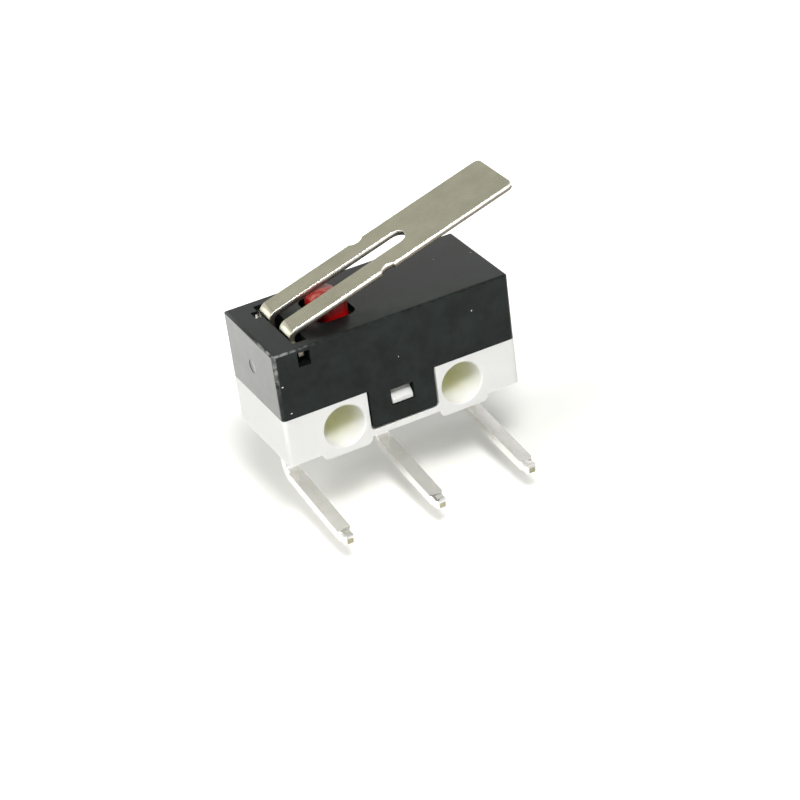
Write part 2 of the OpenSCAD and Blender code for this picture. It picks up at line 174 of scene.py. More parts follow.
class SwitchColours(bpy.types.PropertyGroup):
    """Colours of the materials."""

    cover: colour_property("Cover", "Black moulding compound", "#0a100f")
    cover_bloom: colour_property("Cover bloom", "Paler glass-rich patches in the black", "#1a2120")
    # Pale edges: partly rubbed wear, partly a painted highlight
    cover_rubbed_and_lit: colour_property("Rubbed and lit cover", "Pale edge of the black, rubbing and painted highlight", "#8a8c8b")
    base: colour_property("Base", "White moulding compound", "#e7e7e6")
    # The bore's colours are painted: lighter than the base at the mouth as painted light, yellower deeper
    # in as painted shade
    bore: colour_property("Bore", "White compound painted lighter at the mouth of the mounting holes", "#fbfbf6")
    bore_painted_shade: colour_property("Bore's painted shade", "Yellow painted shade deep in the mounting holes", "#f6f6da")
    plunger: colour_property("Plunger", "Red moulding compound", "#b4090b")
    # The top is painted apart from the sides: a darker red with pale patches of painted reflection
    plunger_top_painted: colour_property("Plunger's top", "Red of the top, painted darker under a painted reflection", "#8a1614")
    plunger_painted_reflection: colour_property("Plunger's painted reflection", "Pale patches of painted reflection on the red top", "#b46256")
    nickel: colour_property("Nickel", "Plating on the lever", "#cccab5")
    nickel_dull: colour_property("Dull nickel", "Plating where it has gone dull", "#bebda8")
    # The bands' contrast is partly painted: a painted highlight above, painted shade below
    burnish_painted_highlight: colour_property("Burnished edge, painted highlight", "Upper band of the lever's sheared edges", "#efeee8")
    torn_painted_shade: colour_property("Torn edge, painted shade", "Lower band of the lever's sheared edges", "#7d776c")
    silver: colour_property("Silver", "Plating on the terminals", "#fbfaf8")
    silver_dull: colour_property("Dull silver", "Plating where it has tarnished", "#f0eeea")
    brass: colour_property("Brass", "Bare metal where the pins were cut off", "#b0ad94")
    brass_dull: colour_property("Dull brass", "Bare metal where it tore", "#86836a")
    copper: colour_property("Spring copper", "Rolled spring alloy", "#d09a55")
    copper_dull: colour_property("Dull copper", "Spring alloy with a film of oxide", "#b8874a")
    dust: colour_property("Dust", "Lint and trimmings on the cover", "#e6e8e6")
    table: colour_property("Table", "White table top", "#f6f6f1")


class SwitchEdges(bpy.types.PropertyGroup):
    """Rounding that the making leaves on edges."""

    moulded: length_property("Moulded edge", "Rounding of a moulded plastic edge", 0.05)
    stamped: length_property("Stamped edge", "Roll-over on a stamped sheet's edge", 0.045)
    rolled: length_property("Rolled edge", "Rounding where the punch drew the lever's edges in", 0.085)
    pin: length_property("Pin edge", "Rounding along a drawn pin", 0.13)
    nib: length_property("Nib edge", "Rounding of a pin's narrowed end", 0.11)
    fine: length_property("Fine edge", "Rounding of the small pieces inside", 0.012)


class SwitchDust(bpy.types.PropertyGroup):
    """Dust that lies on the cover."""

    spacing: length_property("Spacing", "Typical distance from one speck to the next", 3)
    flake: length_property("Flake", "Half the width of the largest speck", 0.06)
    seed: IntProperty(name="Seed", description="Choice of places for the specks", default=7, min=0)


class SwitchStage(bpy.types.PropertyGroup):
    """Table, light and camera."""

    lens: FloatProperty(
        name="Lens", description="Focal length on a 36 mm sensor", subtype="DISTANCE_CAMERA", min=1,
        default=108.2,
    )
    table_gap: length_property("Table gap", "Height of the pins above the table", 1.2)
    key_power: power_property("Key", "Power of the front softbox", 0.085)
    fill_power: power_property("Fill", "Power of the left softbox", 0.1)
    top_power: power_property("Top", "Power of the overhead softbox", 0.09)
    rim_power: power_property("Rim", "Power of the low softbox at the back", 0.013)
    ambient: FloatProperty(name="Ambient", description="Strength of the light tent", default=0.15, min=0)


def add_node(tree, kind, inputs=None, **settings):
    """Adds a node, sets its own settings, and fills or links its inputs."""
    node = tree.nodes.new(kind)
    for name, value in settings.items():
        setattr(node, name, value)
    for socket, value in (inputs or {}).items():
        if isinstance(value, bpy.types.NodeSocket):
            tree.links.new(value, node.inputs[socket])
        else:
            node.inputs[socket].default_value = value
    return node


def new_material(name):
    """An empty node material and its tree."""
    material = bpy.data.materials.new(name)
    material.use_nodes = True
    material.node_tree.nodes.clear()
    return material, material.node_tree


def per_mm(size):
    """Texture scale at which one feature is about that many millimetres across."""
    return 1 / (size * MM)


def finish_surface(tree, shader):
    """Links a shader to the material's output."""
    add_node(tree, "ShaderNodeOutputMaterial", {"Surface": shader.outputs[0]})


def black_pbt(colours):
    """Glass-filled PBT from an eroded mould: a satin black that greys at a glancing angle."""
    material, tree = new_material("PBT black, moulded satin")
    place = add_node(tree, "ShaderNodeTexCoord").outputs["Object"]
    # Glass-rich patches about a millimetre across, faintly paler than the rest
    patches = add_node(
        tree, "ShaderNodeTexNoise", {"Vector": place, "Scale": per_mm(1.1), "Detail": 4, "Roughness": 0.6}
    ).outputs["Fac"]
    tone = add_node(tree, "ShaderNodeMapRange", {"Value": patches, "From Min": 0.35, "From Max": 0.7})
    skin = add_node(
        tree, "ShaderNodeMix", {"Factor": tone.outputs[0], "A": colours.cover, "B": colours.cover_bloom},
        data_type="RGBA",
    )
    # Edges are painted pale in places, most of all on the corner next to the hinge: partly rubbed wear,
    # partly a painted highlight along the edges
    normal = add_node(tree, "ShaderNodeNewGeometry").outputs["True Normal"]
    normal = add_node(tree, "ShaderNodeVectorMath", {0: normal}, operation="ABSOLUTE").outputs[0]
    normal = add_node(tree, "ShaderNodeSeparateXYZ", {0: normal}).outputs
    square = add_node(tree, "ShaderNodeMath", {0: normal["X"], 1: normal["Y"]}, operation="MAXIMUM")
    square = add_node(tree, "ShaderNodeMath", {0: square.outputs[0], 1: normal["Z"]}, operation="MAXIMUM")
    on_edge = add_node(
        tree, "ShaderNodeMapRange", {"Value": square.outputs[0], "From Min": 0.99, "From Max": 0.9}
    )
    corner = (COVER_LOW.x, COVER_LOW.y, COVER_HIGH.z)
    away = add_node(
        tree, "ShaderNodeVectorMath", {0: place, 1: corner}, operation="DISTANCE"
    ).outputs["Value"]
    near = add_node(
        tree, "ShaderNodeMapRange",
        {"Value": away, "From Min": 2.4 * MM, "From Max": 1.0 * MM, "To Min": 0.04, "To Max": 1.0},
    )
    scuff = add_node(
        tree, "ShaderNodeTexNoise", {"Vector": place, "Scale": per_mm(0.35), "Detail": 4}
    ).outputs["Fac"]
    broken = add_node(tree, "ShaderNodeMapRange", {"Value": scuff, "From Min": 0.38, "From Max": 0.62})
    pale_edge = add_node(
        tree, "ShaderNodeMath", {0: on_edge.outputs[0], 1: near.outputs[0]}, operation="MULTIPLY"
    )
    pale_edge = add_node(
        tree, "ShaderNodeMath", {0: pale_edge.outputs[0], 1: broken.outputs[0]}, operation="MULTIPLY"
    )
    skin = add_node(
        tree, "ShaderNodeMix",
        {"Factor": pale_edge.outputs[0], "A": skin.outputs["Result"], "B": colours.cover_rubbed_and_lit},
        data_type="RGBA",
    )
    # The mould's eroded grain is finer than a pixel, so it is drawn at 0.07 mm to show
    grain = add_node(
        tree, "ShaderNodeTexNoise", {"Vector": place, "Scale": per_mm(0.07), "Detail": 2}
    ).outputs["Fac"]
    satin = add_node(
        tree, "ShaderNodeMapRange",
        {"Value": patches, "From Min": 0.3, "From Max": 0.7, "To Min": 0.3, "To Max": 0.4},
    )
    relief = add_node(tree, "ShaderNodeBump", {"Strength": 0.16, "Distance": 0.006 * MM, "Height": grain})
    # At a glancing angle the grain's peaks line up and the gloss comes up quickly
    facing = add_node(tree, "ShaderNodeLayerWeight", {"Blend": 0.5}).outputs["Facing"]
    glance = add_node(
        tree, "ShaderNodeMapRange", {"Value": facing, "From Min": 0.46, "From Max": 0.65},
        interpolation_type="SMOOTHSTEP",
    )
    shader = add_node(
        tree,
        "ShaderNodeBsdfPrincipled",
        {
            "Base Color": skin.outputs["Result"],
            "Roughness": satin.outputs[0],
            "IOR": 1.5,
            "Specular IOR Level": 0.16,
            "Sheen Weight": 0.22,
            "Sheen Roughness": 0.3,
            "Coat Weight": glance.outputs[0],
            "Coat Roughness": 0.16,
            "Coat IOR": 1.465,
            "Normal": relief.outputs[0],
        },
    )
    finish_surface(tree, shader)
    return material


def cored_black(colours):
    """The cover's cavities: left matt by the mould's cores, so they read as black holes."""
    material, tree = new_material("PBT black, cored matt")
    place = add_node(tree, "ShaderNodeTexCoord").outputs["Object"]
    grain = add_node(
        tree, "ShaderNodeTexNoise", {"Vector": place, "Scale": per_mm(0.1), "Detail": 2}
    ).outputs["Fac"]
    matt = add_node(tree, "ShaderNodeMapRange", {"Value": grain, "To Min": 0.6, "To Max": 0.8})
    shader = add_node(
        tree,
        "ShaderNodeBsdfPrincipled",
        {
            "Base Color": colours.cover,
            "Roughness": matt.outputs[0],
            "IOR": 1.5,
            "Specular IOR Level": 0.1,
        },
    )
    finish_surface(tree, shader)
    return material


def white_pbt(name, colour, deep, glow, glow_depth, glow_tint):
    """Natural white PBT: semi-gloss and a little translucent, so light soaks past its edges."""
    material, tree = new_material(name)
    place = add_node(tree, "ShaderNodeTexCoord").outputs["Object"]
    # Flow marks about two millimetres across, in the gloss and faintly in the tone
    flow = add_node(
        tree, "ShaderNodeTexNoise",
        {"Vector": place, "Scale": per_mm(2.2), "Detail": 3, "Distortion": 0.6},
    ).outputs["Fac"]
    gloss = add_node(
        tree, "ShaderNodeMapRange",
        {"Value": flow, "From Min": 0.3, "From Max": 0.7, "To Min": 0.34, "To Max": 0.46},
    )
    shade = add_node(
        tree, "ShaderNodeMapRange",
        {"Value": flow, "From Min": 0.3, "From Max": 0.7, "To Min": 0.97, "To Max": 1.0},
    )
    # Deeper into a bore the colour is mixed toward a yellower tint: painted shade, standing in for light
    # that has come through the walls, which yellow it
    across = add_node(tree, "ShaderNodeSeparateXYZ", {0: place}).outputs["Y"]
    across = add_node(tree, "ShaderNodeMath", {0: across}, operation="ABSOLUTE").outputs[0]
    inside = add_node(
        tree, "ShaderNodeMapRange",
        {"Value": across, "From Min": COVER_HIGH.y - 0.6 * MM, "From Max": COVER_HIGH.y - 2.2 * MM},
    )
    blend = add_node(
        tree, "ShaderNodeMix", {"Factor": inside.outputs[0], "A": colour, "B": deep}, data_type="RGBA"
    )
    skin = add_node(
        tree, "ShaderNodeMix", {"Factor": 1.0, "A": blend.outputs["Result"], "B": shade.outputs[0]},
        data_type="RGBA", blend_type="MULTIPLY",
    )
    # The mould's fine grain, drawn at 0.08 mm so that it shows
    grain = add_node(
        tree, "ShaderNodeTexNoise", {"Vector": place, "Scale": per_mm(0.08), "Detail": 2}
    ).outputs["Fac"]
    relief = add_node(tree, "ShaderNodeBump", {"Strength": 0.1, "Distance": 0.005 * MM, "Height": grain})
    shader = add_node(
        tree,
        "ShaderNodeBsdfPrincipled",
        {
            "Base Color": skin.outputs["Result"],
            "Roughness": gloss.outputs[0],
            "IOR": 1.5,
            "Subsurface Weight": glow,
            "Subsurface Radius": glow_tint,
            "Subsurface Scale": glow_depth,
            "Normal": relief.outputs[0],
        },
    )
    finish_surface(tree, shader)
    return material


def red_nylon(colours):
    """Dyed nylon: a glossy, slightly translucent red with a bright rim where light gets in."""
    material, tree = new_material("Nylon red, moulded gloss")
    place = add_node(tree, "ShaderNodeTexCoord").outputs["Object"]
    # Sink and flow marks about half a millimetre across
    flow = add_node(
        tree, "ShaderNodeTexNoise", {"Vector": place, "Scale": per_mm(0.5), "Detail": 3}
    ).outputs["Fac"]
    gloss = add_node(
        tree, "ShaderNodeMapRange",
        {"Value": flow, "From Min": 0.3, "From Max": 0.7, "To Min": 0.3, "To Max": 0.42},
    )
    relief = add_node(tree, "ShaderNodeBump", {"Strength": 0.06, "Distance": 0.01 * MM, "Height": flow})
    # The lever slides on the top; the top faces are painted a darker red with pale patches, a painted
    # reflection on the top
    up = add_node(tree, "ShaderNodeNewGeometry").outputs["True Normal"]
    up = add_node(tree, "ShaderNodeSeparateXYZ", {0: up}).outputs["Z"]
    on_top = add_node(tree, "ShaderNodeMapRange", {"Value": up, "From Min": 0.5, "From Max": 0.9})
    reflection_noise = add_node(
        tree, "ShaderNodeTexNoise", {"Vector": place, "Scale": per_mm(0.3), "Detail": 3}
    ).outputs["Fac"]
    pale = add_node(tree, "ShaderNodeMapRange", {"Value": reflection_noise, "From Min": 0.44, "From Max": 0.66})
    painted_top = add_node(
        tree, "ShaderNodeMix",
        {"Factor": pale.outputs[0], "A": colours.plunger_top_painted, "B": colours.plunger_painted_reflection},
        data_type="RGBA",
    )
    skin = add_node(
        tree, "ShaderNodeMix",
        {"Factor": on_top.outputs[0], "A": colours.plunger, "B": painted_top.outputs["Result"]},
        data_type="RGBA",
    )
    shader = add_node(
        tree,
        "ShaderNodeBsdfPrincipled",
        {
            "Base Color": skin.outputs["Result"],
            "Roughness": gloss.outputs[0],
            "IOR": 1.53,
            "Specular IOR Level": 0.32,
            "Subsurface Weight": 0.25,
            "Subsurface Radius": (1.0, 0.12, 0.08),
            "Subsurface Scale": 0.4 * MM,
            "Normal": relief.outputs[0],
        },
    )
    finish_surface(tree, shader)
    return material


def drawn_metal(name, bright, dull, grain_mm, stretch, roughness, relief_strength):
    """Plated sheet: rolling lines along the grain, duller patches, and a soft mirror."""
    material, tree = new_material(name)
    place = add_node(tree, "ShaderNodeTexCoord").outputs["Object"]
    along = add_node(tree, "ShaderNodeMapping", {"Vector": place, "Scale": stretch}).outputs[0]
    lines = add_node(
        tree, "ShaderNodeTexNoise",
        {"Vector": along, "Scale": per_mm(grain_mm), "Detail": 4, "Roughness": 0.6},
    ).outputs["Fac"]
    patches = add_node(
        tree, "ShaderNodeTexNoise",
        {"Vector": place, "Scale": per_mm(1.6), "Detail": 4, "Roughness": 0.65},
    ).outputs["Fac"]
    age = add_node(tree, "ShaderNodeMapRange", {"Value": patches, "From Min": 0.38, "From Max": 0.68})
    skin = add_node(
        tree, "ShaderNodeMix", {"Factor": age.outputs[0], "A": bright, "B": dull}, data_type="RGBA"
    )
    smooth, rough = roughness
    sheen = add_node(
        tree, "ShaderNodeMapRange",
        {"Value": lines, "From Min": 0.3, "From Max": 0.7, "To Min": smooth, "To Max": rough},
    )
    relief = add_node(
        tree, "ShaderNodeBump", {"Strength": relief_strength, "Distance": 0.004 * MM, "Height": lines}
    )
    shader = add_node(
        tree,
        "ShaderNodeBsdfPrincipled",
        {
            "Base Color": skin.outputs["Result"],
            "Metallic": 1.0,
            "Roughness": sheen.outputs[0],
            "Normal": relief.outputs[0],
        },
    )
    finish_surface(tree, shader)
    return material


def nickel_steel(colours):
    """Cold-rolled steel plated with dull nickel: a warm grey with faint lines along the blade."""
    return drawn_metal(
        "Nickel-plated steel, rolled satin", colours.nickel, colours.nickel_dull,
        grain_mm=0.06, stretch=(0.05, 1, 1), roughness=(0.24, 0.28), relief_strength=0.02,
    )


def sheared_nickel(colours, across, top):
    """The lever's cut edges: a bright burnished band above, a dull torn band below."""
    material, tree = new_material("Nickel-plated steel, sheared edge")
    place = add_node(tree, "ShaderNodeTexCoord").outputs["Object"]
    # Height through the sheet, with a ragged line where the cut turned into a tear
    height = add_node(
        tree, "ShaderNodeVectorMath", {0: place, 1: across}, operation="DOT_PRODUCT"
    ).outputs["Value"]
    ragged = add_node(
        tree, "ShaderNodeTexNoise", {"Vector": place, "Scale": per_mm(0.25), "Detail": 3}
    ).outputs["Fac"]
    sway = add_node(
        tree, "ShaderNodeMapRange", {"Value": ragged, "To Min": -0.03 * MM, "To Max": 0.03 * MM}
    )
    level = add_node(tree, "ShaderNodeMath", {0: height, 1: sway.outputs[0]}, operation="ADD")
    band = add_node(
        tree, "ShaderNodeMapRange",
        {"Value": level.outputs[0], "From Min": top - 0.16 * MM, "From Max": top - 0.11 * MM},
    )
    # Pale band: a real burnish, partly a painted highlight; dark band: a real tear, partly painted shade
    # reflected from the cover
    skin = add_node(
        tree, "ShaderNodeMix", {"Factor": band.outputs[0], "A": colours.torn_painted_shade, "B": colours.burnish_painted_highlight},
        data_type="RGBA",
    )
    gloss = add_node(
        tree, "ShaderNodeMapRange", {"Value": band.outputs[0], "To Min": 0.5, "To Max": 0.34}
    )
    # The punch draws the upper edge in, so that it catches light from above along its whole length
    rolled = add_node(tree, "ShaderNodeBevel", {"Radius": 0.14 * MM}, samples=8)
    shader = add_node(
        tree,
        "ShaderNodeBsdfPrincipled",
        {
            "Base Color": skin.outputs["Result"],
            "Metallic": 1.0,
            "Roughness": gloss.outputs[0],
            "Normal": rolled.outputs[0],
        },
    )
    finish_surface(tree, shader)
    return material


def silver_brass(colours):
    """Brass plated with silver: bright, with lines drawn along the pins and a trace of tarnish."""
    return drawn_metal(
        "Silver-plated brass, drawn bright", colours.silver, colours.silver_dull,
        grain_mm=0.07, stretch=(1, 0.07, 1), roughness=(0.16, 0.28), relief_strength=0.12,
    )


def cut_brass(colours):
    """Bare brass where each pin was cut from its strip: dull, olive and lightly torn."""
    return drawn_metal(
        "Brass, sheared bare", colours.brass, colours.brass_dull,
        grain_mm=0.05, stretch=(1, 1, 0.1), roughness=(0.35, 0.5), relief_strength=0.3,
    )


def spring_copper(colours):
    """Rolled beryllium copper: a warm pink-gold strip with lines along its length."""
    return drawn_metal(
        "Spring copper, rolled bright", colours.copper, colours.copper_dull,
        grain_mm=0.05, stretch=(0.08, 1, 1), roughness=(0.2, 0.32), relief_strength=0.1,
    )


def contact_silver(colours):
    """Headed silver: clean and soft, with no direction to its grain."""
    return drawn_metal(
        "Contact silver, headed", colours.silver, colours.silver_dull,
        grain_mm=0.09, stretch=(1, 1, 1), roughness=(0.18, 0.26), relief_strength=0.08,
    )


def dust_fibre(colours):
    """Pale lint and mould trimmings, quite matt."""
    material, tree = new_material("Dust, pale lint")
    place = add_node(tree, "ShaderNodeTexCoord").outputs["Object"]
    fleck = add_node(tree, "ShaderNodeTexNoise", {"Vector": place, "Scale": per_mm(0.3)}).outputs["Fac"]
    rough = add_node(tree, "ShaderNodeMapRange", {"Value": fleck, "To Min": 0.7, "To Max": 0.95})
    shader = add_node(
        tree, "ShaderNodeBsdfPrincipled", {"Base Color": colours.dust, "Roughness": rough.outputs[0]}
    )
    finish_surface(tree, shader)
    return material


def rounded_copy(node, edge, is_cut, softness):
    """A copy of a solid as clean faces, with its sharp edges rounded and its cut faces set apart."""
    mesh = bpy.data.meshes.new(node + "_form")
    form = bmesh.new()
    form.from_mesh(frame["nodes"][node].data)
    bmesh.ops.remove_doubles(form, verts=form.verts, dist=WELD)
    bmesh.ops.dissolve_degenerate(form, dist=WELD, edges=form.edges)
    bmesh.ops.dissolve_limit(form, angle_limit=FLAT_ANGLE, verts=form.verts, edges=form.edges)
    for width in sorted({softness(e) for e in form.edges} - {0}, reverse=True):
        soft = [e for e in form.edges if softness(e) == width]
        bmesh.ops.bevel(
            form, geom=soft, offset=width, segments=PIN_EDGE_STEPS, profile=0.5, affect="EDGES",
            clamp_overlap=True,
        )
    for face in form.faces:
        face.smooth = True
        face.material_index = 1 if is_cut(face) else 0
    form.to_mesh(mesh)
    form.free()
    piece = bpy.data.objects.new(node + "_finished", mesh)
    bpy.context.scene.collection.objects.link(piece)
    rounding = piece.modifiers.new("Rounded edges", "BEVEL")
    rounding.width = edge
    rounding.segments = EDGE_STEPS
    rounding.limit_method = "ANGLE"
    rounding.angle_limit = SHARP_ANGLE
    rounding.miter_outer = "MITER_ARC"
    flats = piece.modifiers.new("Flat faces", "WEIGHTED_NORMAL")
    flats.weight = 100
    flats.keep_sharp = True
    return piece


def dress(
    node, edge, material, cut_material=None, is_cut=lambda face: False, softness=lambda edge: 0, bend=None
):
    """Puts a rounded, finished copy in a solid's place, on its body or bent between two bodies."""
    piece = rounded_copy(node, edge, is_cut, softness)
    piece.data.materials.append(material)
    if cut_material:
        piece.data.materials.append(cut_material)
    if bend:
        shape = piece.evaluated_get(bpy.context.evaluated_depsgraph_get())
        piece.data = bpy.data.meshes.new_from_object(shape)
        piece.modifiers.clear()
        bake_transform(piece)
    else:
        bodies = frame["record"]["behaviour"]["bodies"]
        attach(piece, next(body for body in bodies if node in bodies[body]))
    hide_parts(node)


class SWITCH_OT_base(bpy.types.Operator):
    """Finish the white base"""

    bl_idname = "switch.base"
    bl_label = "Base"

    def execute(self, context):
        scene = context.scene
        colours = scene.switch_colours
        skin = white_pbt(
            "PBT white, moulded semi-gloss", colours.base, colours.base,
            glow=0.25, glow_depth=0.4 * MM, glow_tint=(1, 0.97, 0.8),
        )
        # The thick walls round the bores pass more light, and it comes out warm
        # The bore's own colours are painted: lighter at the mouth as painted light, yellower deeper in as
        # painted shade
        bore = white_pbt(
            "PBT white, bore with painted light and shade", colours.bore, colours.bore_painted_shade,
            glow=0.5, glow_depth=0.8 * MM, glow_tint=(1, 0.97, 0.6),
        )
        holes = [Vector(m["pos_m"]) for m in frame["record"]["mounts"] if m["kind"] == "bore"]

        def is_bore(face):
            centre = face.calc_center_median()
            near = any((centre - hole).xz.length < BORE_REACH for hole in holes)
            return near and abs(face.normal.y) < 0.1

        dress("base", scene.switch_edges.moulded, skin, bore, is_bore)
        return {"FINISHED"}


class SWITCH_OT_cover(bpy.types.Operator):
    """Finish the black cover"""

    bl_idname = "switch.cover"
    bl_label = "Cover"

    def execute(self, context):
        scene = context.scene
        colours = scene.switch_colours
        # Faces that lie deeper than this in the cover's box are walls of its cavities
        skin_depth = 0.2 * MM

        def is_inside(face):
            axis = max(range(3), key=lambda i: abs(face.normal[i]))
            limit = COVER_HIGH if face.normal[axis] > 0 else COVER_LOW
            return abs(face.calc_center_median()[axis] - limit[axis]) > skin_depth

        dress("cover", scene.switch_edges.moulded, black_pbt(colours), cored_black(colours), is_inside)
        return {"FINISHED"}


class SWITCH_OT_plunger(bpy.types.Operator):
    """Finish the red plunger"""

    bl_idname = "switch.plunger"
    bl_label = "Plunger"

    def execute(self, context):
        scene = context.scene
        dress("plunger", scene.switch_edges.moulded, red_nylon(scene.switch_colours))
        return {"FINISHED"}


class SWITCH_OT_lever(bpy.types.Operator):
    """Finish the plated lever"""

    bl_idname = "switch.lever"
    bl_label = "Lever"

    def execute(self, context):
        scene = context.scene
        colours = scene.switch_colours
        across = Vector((-math.sin(LEVER_SLOPE), 0, math.cos(LEVER_SLOPE)))
        along = Vector((math.cos(LEVER_SLOPE), 0, math.sin(LEVER_SLOPE)))
        top = max(across.dot(v.co) for v in frame["nodes"]["lever"].data.vertices)

        def is_cut(face):
            return abs(face.normal.y) > 0.2 or face.normal.dot(along) > 0.8

        cut = sheared_nickel(colours, across, top)
        dress("lever", scene.switch_edges.rolled, nickel_steel(colours), cut, is_cut)
        return {"FINISHED"}


class SWITCH_OT_terminals(bpy.types.Operator):
    """Finish the three plated terminals"""

    bl_idname = "switch.terminals"
    bl_label = "Terminals"

    def execute(self, context):
        scene = context.scene
        edges = scene.switch_edges
        plating = silver_brass(scene.switch_colours)
        bare = cut_brass(scene.switch_colours)
        margin = 0.1 * MM
        shank_front = PIN_LOW.y + NIB_LENGTH
        shank_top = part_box("base")[0].z - margin / 2
        square_corner = math.radians(60)

        def is_cut(face):
            return face.normal.y < -0.9 and face.calc_center_median().y < PIN_LOW.y + margin

        def softness(edge):
            places = [v.co for v in edge.verts]
            if edge.calc_face_angle(0) < square_corner or max(p.z for p in places) > shank_top:
                return 0
            if min(p.y for p in places) > shank_front:
                return edges.pin
            return edges.nib if max(p.y for p in places) < shank_front - margin else 0

        for node in ("com_terminal", "no_terminal", "nc_terminal"):
            dress(node, edges.stamped, plating, bare, is_cut, softness)
        return {"FINISHED"}


class SWITCH_OT_contacts(bpy.types.Operator):
    """Finish the spring and the contacts inside"""

    bl_idname = "switch.contacts"
    bl_label = "Spring and contacts"

    def execute(self, context):
        scene = context.scene
        fine = scene.switch_edges.fine
        bend = ("case", "contact_arm", (0, 0, BOW_TIP_Z), (0, 0, LEAF_Z))
        dress("snap_spring", fine, spring_copper(scene.switch_colours), bend=bend)
        silver = contact_silver(scene.switch_colours)
        for node in ("moving_contact", "no_contact", "nc_contact"):
            dress(node, fine, silver)
        return {"FINISHED"}


def dust_tree():
    """Geometry nodes that scatter flat specks over the faces they are given."""
    tree = bpy.data.node_groups.new("Dust on faces", "GeometryNodeTree")
    sockets = {}
    for name, kind in (
        ("Faces", "NodeSocketGeometry"),
        ("Specks per square metre", "NodeSocketFloat"),
        ("Flake", "NodeSocketFloat"),
        ("Seed", "NodeSocketInt"),
        ("Finish", "NodeSocketMaterial"),
    ):
        sockets[name] = tree.interface.new_socket(name, in_out="INPUT", socket_type=kind).identifier
    tree.interface.new_socket("Specks", in_out="OUTPUT", socket_type="NodeSocketGeometry")
    given = add_node(tree, "NodeGroupInput").outputs
    places = add_node(
        tree,
        "GeometryNodeDistributePointsOnFaces",
        {"Mesh": given["Faces"], "Density": given["Specks per square metre"], "Seed": given["Seed"]},
    )
    flake = add_node(tree, "GeometryNodeMeshIcoSphere", {"Radius": given["Flake"], "Subdivisions": 1})
    shape = add_node(
        tree, "FunctionNodeRandomValue",
        {"Min": (0.3, 0.3, 0.1), "Max": (1.0, 0.8, 0.3), "Seed": given["Seed"]}, data_type="FLOAT_VECTOR",
    )
    specks = add_node(
        tree,
        "GeometryNodeInstanceOnPoints",
        {
            "Points": places.outputs["Points"],
            "Instance": flake.outputs["Mesh"],
            "Rotation": places.outputs["Rotation"],
            "Scale": shape.outputs["Value"],
        },
    )
    real = add_node(tree, "GeometryNodeRealizeInstances", {"Geometry": specks.outputs["Instances"]})
    finished = add_node(
        tree, "GeometryNodeSetMaterial",
        {"Geometry": real.outputs["Geometry"], "Material": given["Finish"]},
    )
    add_node(tree, "NodeGroupOutput", {"Specks": finished.outputs["Geometry"]})
    return tree, sockets


def dust_faces():
    """The cover's front, and its roof clear of the plunger, as loose faces that catch dust."""
    faces = bmesh.new()
    faces.from_mesh(frame["nodes"]["cover"].data)
    clear_x = PLUNGER_HIGH.x + DUST_CLEAR
    keep = set()
    for face in faces.faces:
        centre = face.calc_center_median()
        on_front = face.normal.y < -0.99 and centre.y < COVER_LOW.y + IN_PLANE
        on_roof = face.normal.z > 0.99 and centre.z > COVER_HIGH.z - IN_PLANE
        if on_front or (on_roof and centre.x > clear_x):
            keep.add(face)
    bmesh.ops.delete(faces, geom=[f for f in faces.faces if f not in keep], context="FACES")
    mesh = bpy.data.meshes.new("dust_faces")
    faces.to_mesh(mesh)
    faces.free()
    return mesh


class SWITCH_OT_dust(bpy.types.Operator):
    """Scatter a few specks of dust on the cover"""

    bl_idname = "switch.dust"
    bl_label = "Dust"

    def execute(self, context):
        scene = context.scene
        settings = scene.switch_dust
        tree, sockets = dust_tree()
        carrier = bpy.data.objects.new("dust_carrier", dust_faces())
        scene.collection.objects.link(carrier)
        scatter = carrier.modifiers.new("Dust", "NODES")
        scatter.node_group = tree
        scatter[sockets["Specks per square metre"]] = 1 / settings.spacing**2
        scatter[sockets["Flake"]] = settings.flake
        scatter[sockets["Seed"]] = settings.seed
        scatter[sockets["Finish"]] = dust_fibre(scene.switch_colours)
        depsgraph = bpy.context.evaluated_depsgraph_get()
        mesh = bpy.data.meshes.new_from_object(carrier.evaluated_get(depsgraph))
        if not mesh.polygons:
            raise RuntimeError("the dust has no specks")
        bpy.data.objects.remove(carrier)
        dust = bpy.data.objects.new("dust", mesh)
        scene.collection.objects.link(dust)
        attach(dust, "case")
        return {"FINISHED"}


def table_top(colours, height):
    """A wide white table top that keeps the object's shadow and stays white to the camera."""
    material, tree = new_material("Laminate white, matt table")
    path = add_node(tree, "ShaderNodeLightPath").outputs
    seen = add_node(
        tree, "ShaderNodeMath", {0: path["Is Camera Ray"], 1: path["Is Glossy Ray"]}, operation="MAXIMUM"
    )
    # Away from the switch the table fades into a white backdrop
    place = add_node(tree, "ShaderNodeTexCoord").outputs["Object"]
    away = add_node(tree, "ShaderNodeVectorMath", {0: place}, operation="LENGTH").outputs["Value"]
    fade = add_node(
        tree, "ShaderNodeMapRange",
        {"Value": away, "From Min": 7.5 * MM, "From Max": 36 * MM, "To Min": 0.16, "To Max": 1.0},
    )
    lift = add_node(
        tree, "ShaderNodeMath", {0: seen.outputs[0], 1: fade.outputs[0]}, operation="MULTIPLY"
    )
    matt = add_node(tree, "ShaderNodeBsdfDiffuse", {"Color": colours.table})
    glow = add_node(tree, "ShaderNodeEmission", {"Strength": lift.outputs[0]})
    finish_surface(tree, add_node(tree, "ShaderNodeAddShader", {0: matt.outputs[0], 1: glow.outputs[0]}))
    mesh = bpy.data.meshes.new("table")
    signs = ((-1, -1), (1, -1), (1, 1), (-1, 1))
    corners = [(x * TABLE_REACH, y * TABLE_REACH, height) for x, y in signs]
    mesh.from_pydata(corners, [], [(0, 1, 2, 3)])
    mesh.materials.append(material)
    table = bpy.data.objects.new("table", mesh)
    bpy.context.scene.collection.objects.link(table)


